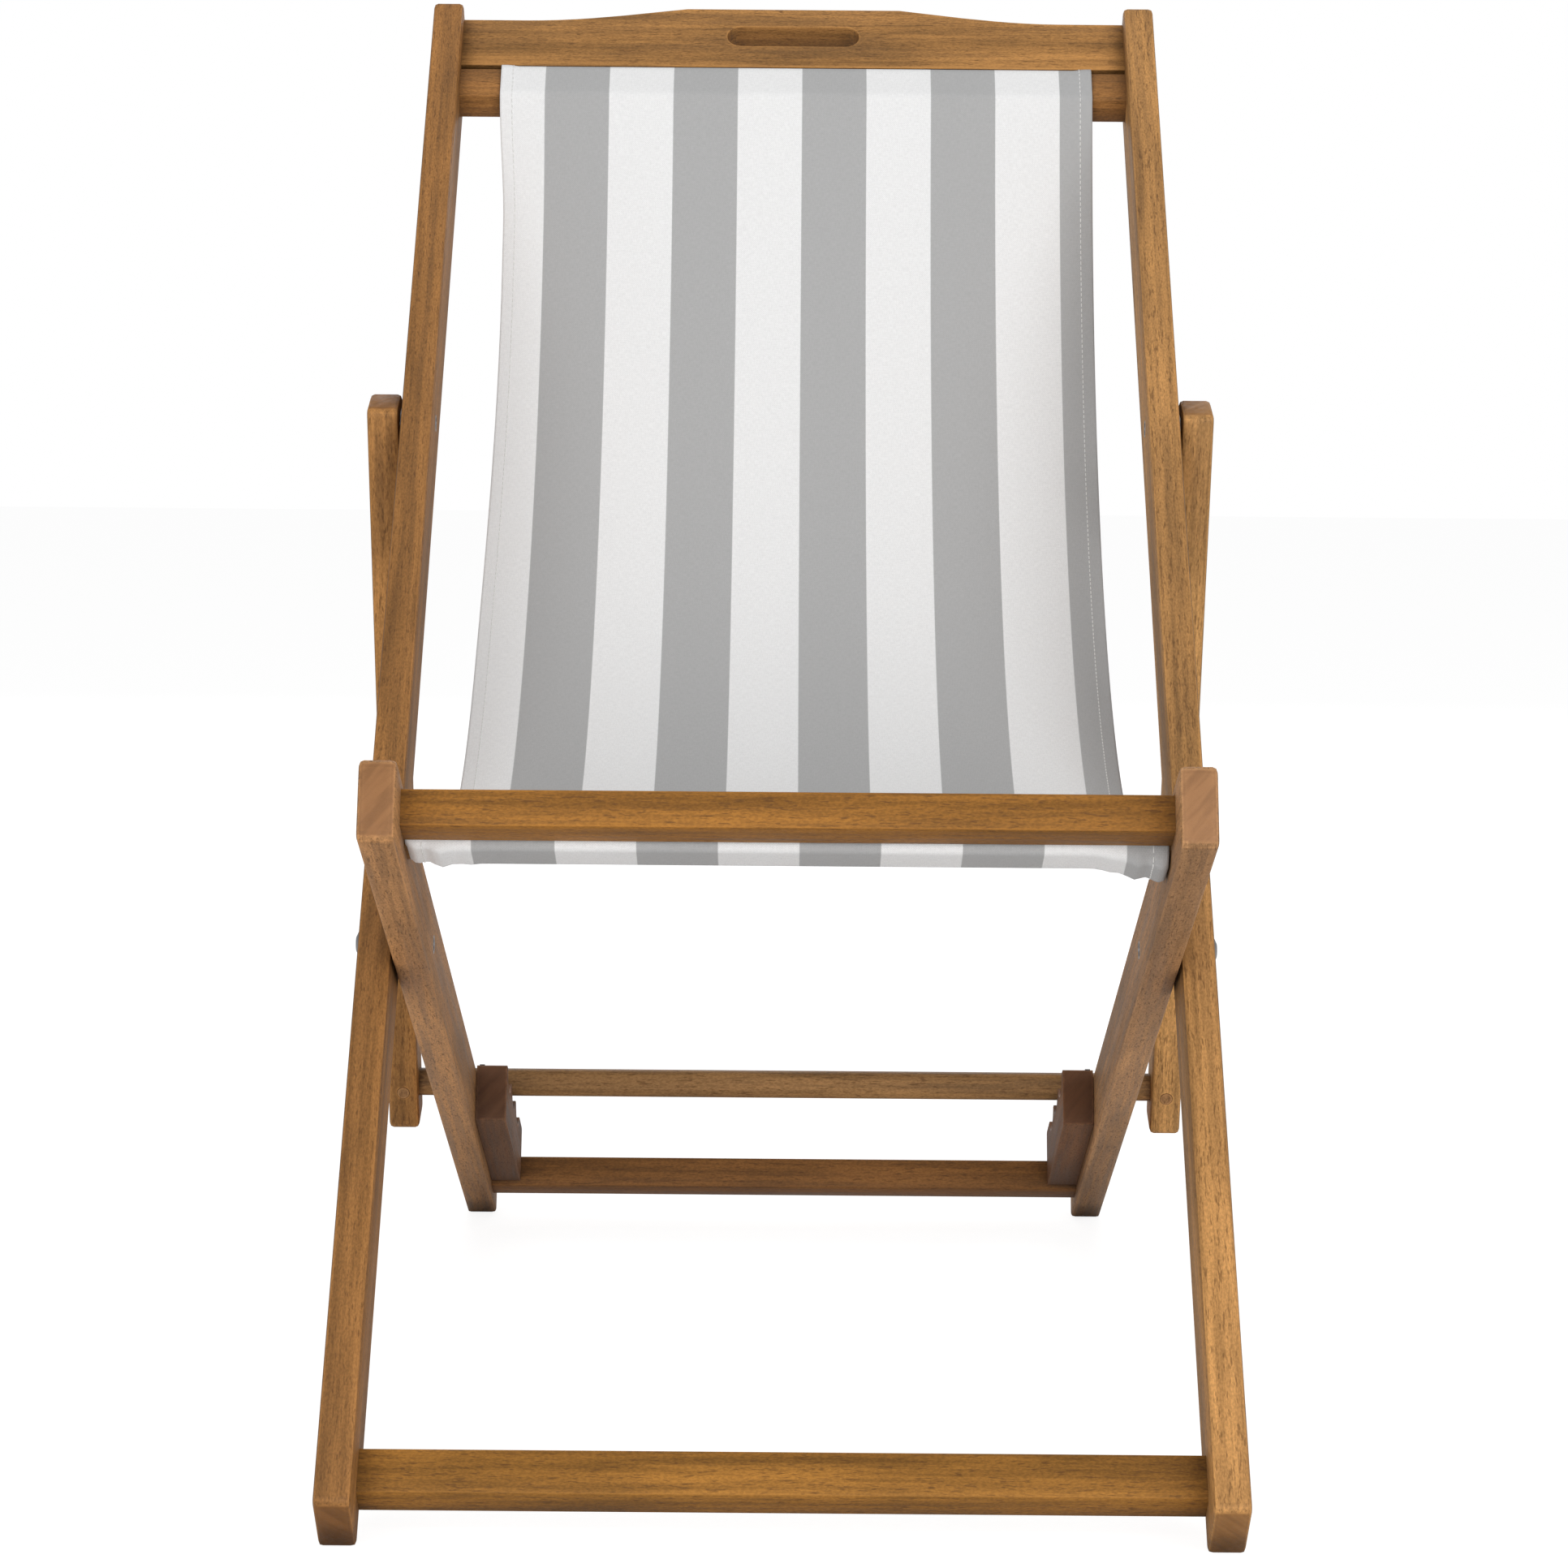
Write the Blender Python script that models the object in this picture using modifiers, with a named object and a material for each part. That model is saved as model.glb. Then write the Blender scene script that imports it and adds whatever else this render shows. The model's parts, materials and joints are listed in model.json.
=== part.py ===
"""Folding deck chair: three crossed timber frames and a striped canvas sling.

The long back frame carries the handle rail and stands on its front feet. The shorter seat frame turns
inside it, carries the front rail and stands on its rear feet. The prop frame hangs outside the back frame,
and its bar rests in the notched racks of the seat frame.
Each frame is built in its own axes: X across the chair, Y through the depth of the legs, Z along them.
"""

import math

import bmesh
import bpy
from mathutils import Matrix, Vector

# Driving dimensions, in metres and degrees.
BACK_SLOPE = 44.4
SEAT_SLOPE = 25.135
LEG_THICK = 0.022
BACK_DEPTH = 0.054
SEAT_DEPTH = 0.050
PROP_DEPTH = 0.038
BACK_HALF = 0.270            # middle of the chair to the outer face of a back leg
SEAT_GAP = 0.0016            # between a back leg and a seat leg
PROP_GAP = 0.0025            # between a back leg and a prop leg
BACK_ABOVE = 0.8612          # back leg, from the cross pivot to its head
BACK_BELOW = 0.4188          # back leg, from the cross pivot to its foot
SEAT_AHEAD = 0.3032          # seat leg, from the cross pivot to its front end
PROP_PIVOT = 0.4524          # cross pivot to prop pivot, along the back leg
PROP_HEAD = 0.0165           # prop leg above its pivot
PROP_TAIL = 0.031            # prop leg below its bar
FOOT_CUT = 0.004             # depth of the flat sawn under each foot
SAW_BLOCK = 0.1              # cutter for the flat, larger than a foot
LEG_ROUND = 0.003
END_ROUND = 0.006            # corners of the leg ends, seen from the side
FIT = 0.0003                 # gap kept between pieces that touch
HOUSING = 0.010              # how far a rail is let into a leg

# Rails, each with its place through the depth of the legs and along them.
RAIL_DEPTH = 0.023
RAIL_WIDTH = 0.030
RAIL_ROUND = 0.0025
TOP_BAR = (0.0005, 0.7898)
FOOT_RAIL = (0.013, -0.3797)
FRONT_RAIL = (0.006, 0.2552)
FRONT_BAR = (0.0045, 0.2212)
REAR_RAIL = (-0.0055, -0.6285)

# Handle rail.
HANDLE_DEPTH = 0.022
HANDLE_LOW = 0.8078
HANDLE_ENDS = 0.8578         # upper edge at the ends
HANDLE_TOP = 0.8718          # upper edge at the middle
HANDLE_FLAT = 0.080          # half length of the raised middle
HANDLE_RISE = 0.200          # where the upper edge starts to rise
GRIP_HALF = 0.0495           # half length of the hand slot
GRIP_HEIGHT = 0.021
GRIP_LEVEL = 0.8418
SWELL_STEPS = 10
ARC_STEPS = 10

# Prop bar and racks.
BAR_SIZE = 0.020
BAR_ROUND = 0.0065
BAR_LEAN = 7.0               # the bar's front face leans back from upright
BAR_REACH = 0.5017           # cross pivot to bar, along the seat leg
BAR_RISE = 0.0363            # bar above the middle of the seat leg
RACK_FRONT = -0.4145
RACK_REAR = -0.6128
RACK_LOW = -0.014
RACK_CREST = 0.0275
NOTCH_RADIUS = 0.028
NOTCH_FLOOR = 0.0155
NOTCH_PITCH = 0.052
NOTCH_SIDES = 48
RACK_SCREWS = (-0.431, -0.593)
RACK_SCREW_DEPTH = -0.001
PIN_SPREAD = 0.226
PIN_RADIUS = 0.002
PIN_PROUD = 0.003
PIN_DEPTH = 0.006
PEG_RADIUS = 0.0045
PEG_DEPTH = 0.006

# Pivot hardware and screws.
BOLT_RADIUS = 0.004
BOLT_HOLE = 0.0044
HEAD_RADIUS = 0.009
HEAD_HEIGHT = 0.0035
HEAD_SINK = 0.0042           # counterbore for the prop bolts, whose heads lie below the face
NUT_RADIUS = 0.006
NUT_HEIGHT = 0.006
WASHER_RADIUS = 0.010
SCREW_RADIUS = 0.002
SCREW_HEAD = 0.004
SCREW_SINK = 0.003
SCREW_BITE = 0.014           # screw inside the rack
ROUND_SIDES = 24
SMALL_SIDES = 16

# Canvas sling.
SLING_HALF = 0.220
SLING_THICK = 0.0016
SLING_CLEAR = 0.0005         # between the canvas and the bars
TOP_PULL = 0.350             # how far the canvas keeps the direction in which it leaves each bar
FRONT_PULL = 0.335
SPAN_STEPS = 36
CORNER_STEPS = 3
TOP_BREAK = 34.1             # turn of the canvas where it leaves the top bar, in degrees

# Places worked out from the dimensions.
BACK_ANGLE = math.radians(BACK_SLOPE)
SEAT_ANGLE = math.radians(SEAT_SLOPE)
BACK_INNER = BACK_HALF - LEG_THICK
SEAT_OUTER = BACK_INNER - SEAT_GAP
SEAT_INNER = SEAT_OUTER - LEG_THICK
PROP_INNER = BACK_HALF + PROP_GAP
PROP_OUTER = PROP_INNER + LEG_THICK
PIVOT_HEIGHT = BACK_BELOW * math.sin(BACK_ANGLE) + BACK_DEPTH / 2 * math.cos(BACK_ANGLE) - FOOT_CUT
SEAT_BEHIND = (PIVOT_HEIGHT + FOOT_CUT - SEAT_DEPTH / 2 * math.cos(SEAT_ANGLE)) / math.sin(SEAT_ANGLE)
BACK_SPAN = (BACK_ABOVE - BACK_BELOW) * math.cos(BACK_ANGLE)
CROSS_PIVOT = Vector((0.0, -BACK_SPAN / 2, PIVOT_HEIGHT))
BACK_TILT = BACK_ANGLE - math.pi / 2
SEAT_TILT = math.pi / 2 - SEAT_ANGLE
SIDES = (("left", -1), ("right", 1))

for old in list(bpy.data.objects):
    bpy.data.objects.remove(old, do_unlink=True)
PARTS = bpy.data.collections.new("folding_deck_chair")
CUTTERS = bpy.data.collections.new("cutters")
bpy.context.scene.collection.children.link(PARTS)
bpy.context.scene.collection.children.link(CUTTERS)


# Materials
def finish(name, colour, roughness, metallic=0.0):
    material = bpy.data.materials.new(name)
    material.use_nodes = True
    shader = material.node_tree.nodes["Principled BSDF"]
    shader.inputs["Base Color"].default_value = (*colour, 1.0)
    shader.inputs["Roughness"].default_value = roughness
    shader.inputs["Metallic"].default_value = metallic
    return material


WOOD = finish("oiled_hardwood", (0.33, 0.17, 0.06), 0.5)
PALE_WOOD = finish("peg_hardwood", (0.42, 0.24, 0.10), 0.6)
STEEL = finish("zinc_steel", (0.45, 0.45, 0.46), 0.35, 1.0)
CANVAS = finish("striped_canvas", (0.62, 0.62, 0.63), 0.9)


# Axes of the three frames, as empties on the pivots
def axes(name, parent, spot, tilt):
    empty = bpy.data.objects.new(name, None)
    empty.location = spot
    empty.rotation_euler = (tilt, 0.0, 0.0)
    empty.parent = parent
    PARTS.objects.link(empty)
    bpy.context.view_layer.update()
    return empty


BACK = axes("back_frame_axes", None, CROSS_PIVOT, BACK_TILT)
SEAT = axes("seat_frame_axes", None, CROSS_PIVOT, SEAT_TILT)
PROP_SPOT = BACK.matrix_world @ Vector((0.0, 0.0, PROP_PIVOT))
BAR_SPOT = SEAT.matrix_world @ Vector((0.0, BAR_RISE, -BAR_REACH))
PROP_REACH = (PROP_SPOT - BAR_SPOT).length
PROP_TILT = math.atan2(BAR_SPOT.y - PROP_SPOT.y, PROP_SPOT.z - BAR_SPOT.z)
PROP = axes("prop_frame_axes", None, PROP_SPOT, PROP_TILT)
BAR = axes("prop_bar_axes", PROP, (0.0, 0.0, -PROP_REACH), -math.radians(BAR_LEAN) - PROP_TILT)


# Building blocks
def place(data, name, frame, spot, material, turn=(0.0, 0.0, 0.0)):
    part = bpy.data.objects.new(name, data)
    part.location = spot
    part.rotation_euler = turn
    part.parent = frame
    PARTS.objects.link(part)
    data.materials.append(material)
    bpy.context.view_layer.update()
    return part


def carve(part, mesh, frame, spot, turn=(0.0, 0.0, 0.0)):
    """Takes a shape out of a part, with a hidden cutter."""
    tool = bpy.data.objects.new(mesh.name, mesh)
    tool.location = spot
    tool.rotation_euler = turn
    tool.parent = frame
    tool.hide_render = True
    tool.display_type = "WIRE"
    CUTTERS.objects.link(tool)
    step = part.modifiers.new(tool.name, "BOOLEAN")
    step.operation = "DIFFERENCE"
    step.solver = "EXACT"
    step.object = tool


def timber(name, size, axis, radius, segments=2):
    """A bar of timber with the edges along one axis rounded."""
    mesh = bpy.data.meshes.new(name)
    build = bmesh.new()
    bmesh.ops.create_cube(build, size=1.0)
    bmesh.ops.scale(build, vec=size, verts=build.verts)
    edges = [e for e in build.edges if abs(e.verts[0].co[axis] - e.verts[1].co[axis]) > size[axis] / 2]
    if radius:
        bmesh.ops.bevel(build, geom=edges, offset=radius, segments=segments, profile=0.5, affect="EDGES")
    build.to_mesh(mesh)
    build.free()
    return mesh


def turned(name, profile, sides):
    """A turned piece along X: the profile gives its radius at each place along the axis."""
    mesh = bpy.data.meshes.new(name)
    build = bmesh.new()
    verts = [build.verts.new((x, 0.0, radius)) for x, radius in profile]
    edges = [build.edges.new(pair) for pair in zip(verts, verts[1:])]
    bmesh.ops.spin(build, geom=verts + edges, axis=(1, 0, 0), angle=2 * math.pi, steps=sides, use_merge=True)
    bmesh.ops.remove_doubles(build, verts=build.verts, dist=1e-6)
    bmesh.ops.recalc_face_normals(build, faces=build.faces)
    build.to_mesh(mesh)
    build.free()
    mesh.shade_smooth()
    mesh.set_sharp_from_angle(angle=math.radians(40))
    return mesh


def rod(name, radius, length, sides=ROUND_SIDES):
    half = length / 2
    return turned(name, [(-half, 0.0), (-half, radius), (half, radius), (half, 0.0)], sides)


def leg(name, frame, middle, depth, low, high):
    """A straight leg with rounded edges and rounder corners at its ends."""
    mesh = timber(name, (LEG_THICK, depth, high - low), 0, END_ROUND, 3)
    part = place(mesh, name, frame, (middle, 0.0, (low + high) / 2), WOOD)
    edges = part.modifiers.new("rounded edges", "BEVEL")
    edges.width = LEG_ROUND
    edges.segments = 2
    edges.limit_method = "ANGLE"
    edges.angle_limit = math.radians(50)
    return part


def pocket_hole(name, side, face, out, wide, deep):
    """The shape of a bolt hole that widens into a pocket at one face of a leg, for a nut or a bolt head."""
    step = face - out * deep
    near = face + out * LEG_THICK
    far = face - 2 * out * LEG_THICK
    profile = [(near, 0.0), (near, wide + FIT), (step, wide + FIT)]
    profile += [(step, BOLT_HOLE), (far, BOLT_HOLE), (far, 0.0)]
    return turned(name, [(side * x, radius) for x, radius in profile], ROUND_SIDES)


def saw_foot(part, name):
    """Saws the foot of a leg level with the floor."""
    corners = [part.matrix_world @ Vector(corner) for corner in part.bound_box]
    lowest = min(corners, key=lambda corner: corner.z)
    block = timber(name, (2 * LEG_THICK, SAW_BLOCK, SAW_BLOCK), 0, 0.0)
    carve(part, block, None, (part.matrix_world.translation.x, lowest.y, -SAW_BLOCK / 2))


def rail(name, frame, inner, spot, legs):
    """A rail between two legs, let into a housing in each."""
    depth, level = spot
    size = (2 * (inner + HOUSING - FIT), RAIL_DEPTH, RAIL_WIDTH)
    place(timber(name, size, 0, RAIL_ROUND), name, frame, (0.0, depth, level), WOOD)
    grown = (2 * HOUSING, RAIL_DEPTH + 2 * FIT, RAIL_WIDTH + 2 * FIT)
    for (word, side), part in zip(SIDES, legs):
        housing = timber(f"{name}_housing_{word}", grown, 0, RAIL_ROUND)
        carve(part, housing, frame, (side * inner, depth, level))


def flat_outline(name, loops, half_thick):
    curve = bpy.data.curves.new(name, "CURVE")
    curve.dimensions = "2D"
    curve.fill_mode = "BOTH"
    curve.extrude = half_thick
    for loop in loops:
        spline = curve.splines.new("POLY")
        spline.points.add(len(loop) - 1)
        for point, (x, y) in zip(spline.points, loop):
            point.co = (x, y, 0.0, 1.0)
        spline.use_cyclic_u = True
    return curve


# Back frame
def handle_rail(legs):
    """The arched rail at the head, let into the legs, with a slot for the hand."""
    end = BACK_INNER + HOUSING - FIT
    half = [(end, HANDLE_LOW), (end, HANDLE_ENDS)]
    for step in range(SWELL_STEPS + 1):
        share = step / SWELL_STEPS
        lift = share ** 2 * (1.6 - 0.6 * share)
        x = HANDLE_RISE + (HANDLE_FLAT - HANDLE_RISE) * share
        half.append((x, HANDLE_ENDS + (HANDLE_TOP - HANDLE_ENDS) * lift))
    outline = half + [(-x, z) for x, z in reversed(half)]
    bore = GRIP_HEIGHT / 2
    turns = [math.radians(180 * step / ARC_STEPS - 90) for step in range(ARC_STEPS + 1)]
    slot = [(GRIP_HALF - bore + bore * math.cos(t), GRIP_LEVEL + bore * math.sin(t)) for t in turns]
    slot += [(-x, z) for x, z in reversed(slot)]
    curve = flat_outline("handle_rail", [outline, slot], HANDLE_DEPTH / 2)
    place(curve, "handle_rail", BACK, (0.0, 0.0, 0.0), WOOD, (math.pi / 2, 0.0, 0.0))
    size = (2 * HOUSING, HANDLE_DEPTH + 2 * FIT, HANDLE_ENDS - HANDLE_LOW + 2 * FIT)
    for (word, side), part in zip(SIDES, legs):
        housing = timber(f"handle_housing_{word}", size, 0, 0.0)
        carve(part, housing, BACK, (side * BACK_INNER, 0.0, (HANDLE_LOW + HANDLE_ENDS) / 2))


def back_frame():
    legs = []
    for word, side in SIDES:
        middle = side * (BACK_INNER + LEG_THICK / 2)
        part = leg(f"back_leg_{word}", BACK, middle, BACK_DEPTH, -BACK_BELOW, BACK_ABOVE)
        saw_foot(part, f"back_foot_saw_{word}")
        carve(part, rod(f"back_seat_hole_{word}", BOLT_HOLE, 2 * LEG_THICK), BACK, (middle, 0.0, 0.0))
        hole = pocket_hole(f"back_prop_hole_{word}", side, BACK_INNER, -1, NUT_RADIUS, NUT_HEIGHT + FIT)
        carve(part, hole, BACK, (0.0, 0.0, PROP_PIVOT))
        legs.append(part)
    handle_rail(legs)
    rail("top_sling_bar", BACK, BACK_INNER, TOP_BAR, legs)
    rail("foot_rail", BACK, BACK_INNER, FOOT_RAIL, legs)


# Seat frame
def rack(word, side):
    """A block inside the seat leg, with shallow round notches for the prop bar along its upper edge."""
    middle = side * (SEAT_INNER - FIT - LEG_THICK / 2)
    size = (LEG_THICK, RACK_CREST - RACK_LOW, RACK_FRONT - RACK_REAR)
    spot = (middle, (RACK_CREST + RACK_LOW) / 2, (RACK_FRONT + RACK_REAR) / 2)
    part = place(timber(f"rack_{word}", size, 0, LEG_ROUND), f"rack_{word}", SEAT, spot, WOOD)
    for count in (-1, 0, 1):
        place_in_seat = (middle, NOTCH_FLOOR + NOTCH_RADIUS, -BAR_REACH + count * NOTCH_PITCH)
        notch = rod(f"notch_{word}_{count + 2}", NOTCH_RADIUS, 2 * LEG_THICK, NOTCH_SIDES)
        carve(part, notch, SEAT, place_in_seat)
    return part


def rack_screw(word, side, count, level, seat_leg, block):
    """A countersunk screw, driven from the outer face of the seat leg into the rack."""
    reach = LEG_THICK + SCREW_BITE
    profile = [(0.0, 0.0), (0.0, SCREW_HEAD), (-SCREW_SINK, SCREW_RADIUS)]
    profile += [(-reach, SCREW_RADIUS), (-reach, 0.0)]
    grown = [(0.002, 0.0), (0.002, SCREW_HEAD + 2 * FIT), (0.0, SCREW_HEAD + 2 * FIT)]
    grown += [(-SCREW_SINK - FIT, SCREW_RADIUS + FIT)]
    grown += [(-reach - FIT, SCREW_RADIUS + FIT), (-reach - FIT, 0.0)]
    spot = (side * (SEAT_OUTER - FIT), RACK_SCREW_DEPTH, level)
    name = f"rack_screw_{word}_{count}"
    place(turned(name, [(side * x, r) for x, r in profile], SMALL_SIDES), name, SEAT, spot, STEEL)
    for part, kind in ((seat_leg, "leg"), (block, "rack")):
        hole = turned(f"{name}_{kind}_hole", [(side * x, r) for x, r in grown], SMALL_SIDES)
        carve(part, hole, SEAT, spot)


def seat_frame():
    legs = []
    for word, side in SIDES:
        middle = side * (SEAT_INNER + LEG_THICK / 2)
        part = leg(f"seat_leg_{word}", SEAT, middle, SEAT_DEPTH, -SEAT_BEHIND, SEAT_AHEAD)
        saw_foot(part, f"seat_foot_saw_{word}")
        hole = pocket_hole(f"seat_hole_{word}", side, SEAT_INNER, -1, NUT_RADIUS, NUT_HEIGHT + FIT)
        carve(part, hole, SEAT, (0.0, 0.0, 0.0))
        block = rack(word, side)
        for count, level in enumerate(RACK_SCREWS, 1):
            rack_screw(word, side, count, level, part, block)
        legs.append(part)
    rail("front_rail", SEAT, SEAT_INNER, FRONT_RAIL, legs)
    rail("front_sling_bar", SEAT, SEAT_INNER, FRONT_BAR, legs)
    rail("rear_rail", SEAT, SEAT_INNER, REAR_RAIL, legs)


# Prop frame
def prop_frame():
    size = (2 * (PROP_INNER + HOUSING - FIT), BAR_SIZE, BAR_SIZE)
    bar = place(timber("prop_bar", size, 0, BAR_ROUND, 4), "prop_bar", BAR, (0.0, 0.0, 0.0), WOOD)
    grown = (2 * HOUSING, BAR_SIZE + 2 * FIT, BAR_SIZE + 2 * FIT)
    along_depth = (0.0, 0.0, math.pi / 2)
    upright = (0.0, math.pi / 2, 0.0)
    for word, side in SIDES:
        middle = side * (PROP_INNER + LEG_THICK / 2)
        part = leg(f"prop_leg_{word}", PROP, middle, PROP_DEPTH, -PROP_REACH - PROP_TAIL, PROP_HEAD)
        carve(part, timber(f"bar_housing_{word}", grown, 0, BAR_ROUND, 4), BAR, (side * PROP_INNER, 0.0, 0.0))
        hole = pocket_hole(f"prop_hole_{word}", side, PROP_OUTER, 1, HEAD_RADIUS, HEAD_SINK)
        carve(part, hole, PROP, (0.0, 0.0, 0.0))
        front = (middle, -PROP_DEPTH / 2, -PROP_REACH)
        hole = rod(f"peg_hole_{word}", PEG_RADIUS + FIT, 2 * (PEG_DEPTH + FIT), SMALL_SIDES)
        carve(part, hole, PROP, front, along_depth)
        peg = rod(f"prop_peg_{word}", PEG_RADIUS, PEG_DEPTH, SMALL_SIDES)
        spot = (middle, front[1] + PEG_DEPTH / 2 - FIT, front[2])
        place(peg, f"prop_peg_{word}", PROP, spot, PALE_WOOD, along_depth)
        top = (side * PIN_SPREAD, 0.0, BAR_SIZE / 2)
        hole = rod(f"pin_hole_{word}", PIN_RADIUS + FIT, 2 * (PIN_DEPTH + FIT), SMALL_SIDES)
        carve(bar, hole, BAR, top, upright)
        pin = rod(f"bar_pin_{word}", PIN_RADIUS, PIN_DEPTH + PIN_PROUD, SMALL_SIDES)
        spot = (top[0], 0.0, top[2] + (PIN_PROUD - PIN_DEPTH) / 2)
        place(pin, f"bar_pin_{word}", BAR, spot, STEEL, upright)


# Pivots
def pivot(kind, spacer, level, outer, sink, gap_face, gap, inner):
    """A domed bolt through two legs, the washer between them and the barrel nut in the inner leg."""
    neck = outer + FIT - sink
    tip = inner + 2 * FIT
    dome = [(neck + HEAD_HEIGHT, 0.0), (neck + HEAD_HEIGHT, 0.5 * HEAD_RADIUS)]
    dome += [(neck + 0.4 * HEAD_HEIGHT, HEAD_RADIUS), (neck, HEAD_RADIUS)]
    shank = dome + [(neck, BOLT_RADIUS), (tip, BOLT_RADIUS), (tip, 0.0)]
    bore = BOLT_RADIUS + FIT
    rings = (
        (spacer, gap_face + FIT, gap_face + gap - FIT, WASHER_RADIUS),
        (f"{kind}_nut", inner, inner + NUT_HEIGHT, NUT_RADIUS),
    )
    for word, side in SIDES:
        spot = (0.0, 0.0, level)
        name = f"{kind}_bolt_{word}"
        place(turned(name, [(side * x, r) for x, r in shank], ROUND_SIDES), name, BACK, spot, STEEL)
        for ring, low, high, radius in rings:
            name = f"{ring}_{word}"
            loop = [(low, bore), (low, radius), (high, radius), (high, bore), (low, bore)]
            mesh = turned(name, [(side * x, r) for x, r in loop], ROUND_SIDES)
            place(mesh, name, BACK, spot, STEEL)


# Canvas sling, drawn as one path in the upright plane of the chair
def round_bar(frame, spot, turns):
    """Points of the canvas round a bar: each turn is a corner with the angles that it starts and ends at."""
    depth, level = spot
    bend = RAIL_ROUND + SLING_CLEAR + SLING_THICK / 2
    points = []
    for across, along, start, end in turns:
        y = depth + across * (RAIL_DEPTH / 2 - RAIL_ROUND)
        z = level + along * (RAIL_WIDTH / 2 - RAIL_ROUND)
        for step in range(CORNER_STEPS + 1):
            angle = math.radians(start + (end - start) * step / CORNER_STEPS)
            point = frame.matrix_world @ Vector((0.0, y + bend * math.cos(angle), z + bend * math.sin(angle)))
            points.append((point.y, point.z))
    return points


def slack(start, end):
    """The slack canvas between the bars: a cubic curve with the canvas's direction at each bar."""
    drop = BACK_ANGLE + math.radians(TOP_BREAK)
    below_top = (start[0] - TOP_PULL * math.cos(drop), start[1] - TOP_PULL * math.sin(drop))
    behind_front = (end[0] + FRONT_PULL * math.cos(SEAT_ANGLE), end[1] - FRONT_PULL * math.sin(SEAT_ANGLE))
    guides = (start, below_top, behind_front, end)
    points = []
    for step in range(1, SPAN_STEPS):
        t = step / SPAN_STEPS
        shares = ((1 - t) ** 3, 3 * t * (1 - t) ** 2, 3 * t ** 2 * (1 - t), t ** 3)
        spot = [sum(share * guide[axis] for share, guide in zip(shares, guides)) for axis in (0, 1)]
        points.append(tuple(spot))
    return points


def ribbon(path, half):
    """The closed outline of a strip of even thickness along a path."""
    left = []
    right = []
    for spot, (x, y) in enumerate(path):
        before = path[max(spot - 1, 0)]
        after = path[min(spot + 1, len(path) - 1)]
        size = math.hypot(after[0] - before[0], after[1] - before[1])
        dx = half * (after[0] - before[0]) / size
        dy = half * (after[1] - before[1]) / size
        left.append((x - dy, y + dx))
        right.append((x + dy, y - dx))
    return left + right[::-1]


def sling():
    """The canvas: a pocket round the top bar, the hanging seat and a pocket round the front bar."""
    top_turns = ((-1, -1, 270, 270), (1, -1, 270, 360), (1, 1, 0, 90), (-1, 1, 90, 180))
    top_turns += ((-1, -1, 180, 180 + TOP_BREAK),)
    front_turns = ((1, -1, 0, 0), (1, 1, 0, 90), (-1, 1, 90, 180), (-1, -1, 180, 270))
    top = round_bar(BACK, TOP_BAR, top_turns)[CORNER_STEPS:]
    front = round_bar(SEAT, FRONT_BAR, front_turns)[CORNER_STEPS:]
    hem = round_bar(SEAT, FRONT_BAR, ((1, -1, 270, 270),))[:1]
    path = top + slack(top[-1], front[0]) + front + hem
    curve = flat_outline("sling", [ribbon(path, SLING_THICK / 2)], SLING_HALF)
    place(curve, "sling", None, (0.0, 0.0, 0.0), CANVAS, (math.pi / 2, 0.0, math.pi / 2))
    length = sum(math.dist(a, b) for a, b in zip(path, path[1:]))
    print(f"sling: {2 * SLING_HALF:.3f} m wide, {length:.3f} m long when flat")


def main():
    back_frame()
    seat_frame()
    prop_frame()
    pivot("seat", "seat_washer", 0.0, BACK_HALF, 0.0, SEAT_OUTER, SEAT_GAP, SEAT_INNER)
    pivot("prop", "prop_spacer", PROP_PIVOT, PROP_OUTER, HEAD_SINK, BACK_HALF, PROP_GAP, BACK_INNER)
    sling()


main()
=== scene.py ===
# %% [markdown]
# Dressing a folding deck chair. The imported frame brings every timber, bolt and screw at its real size.
# This lesson gives the timber its oiled grain, hangs a striped canvas in the frame and sets up a plain
# studio, with the camera where the photograph was taken.

# %% Load the frame
import json
import math

import bmesh
import bpy
import numpy as np
from mathutils import Matrix, Vector


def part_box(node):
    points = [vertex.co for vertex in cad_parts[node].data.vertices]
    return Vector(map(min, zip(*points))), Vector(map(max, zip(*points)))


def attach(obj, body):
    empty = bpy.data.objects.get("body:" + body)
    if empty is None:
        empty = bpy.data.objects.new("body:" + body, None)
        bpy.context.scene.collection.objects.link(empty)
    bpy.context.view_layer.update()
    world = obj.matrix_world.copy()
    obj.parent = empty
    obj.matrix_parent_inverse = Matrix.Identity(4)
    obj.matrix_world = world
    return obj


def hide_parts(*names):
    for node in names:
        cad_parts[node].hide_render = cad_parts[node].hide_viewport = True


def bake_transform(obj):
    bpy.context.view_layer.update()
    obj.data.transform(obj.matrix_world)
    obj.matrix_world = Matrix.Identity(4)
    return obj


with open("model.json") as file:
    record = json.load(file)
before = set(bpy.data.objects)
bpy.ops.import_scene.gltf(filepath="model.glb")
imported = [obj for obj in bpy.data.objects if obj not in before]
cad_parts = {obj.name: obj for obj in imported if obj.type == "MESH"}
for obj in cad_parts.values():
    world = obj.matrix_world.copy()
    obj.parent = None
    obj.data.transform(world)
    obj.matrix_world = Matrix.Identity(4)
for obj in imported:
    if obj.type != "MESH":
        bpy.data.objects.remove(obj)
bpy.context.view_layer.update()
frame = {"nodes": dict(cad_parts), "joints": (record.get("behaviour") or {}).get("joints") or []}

NODES = frame["nodes"]
HINGE = {joint["name"]: joint for joint in frame["joints"]}

# %% [markdown]
# The three frames lean at their own angles. Grain runs along a timber, and the canvas wraps the sling bars,
# so both need each frame's axes: a turn about X that carries local Z along the legs.

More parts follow.
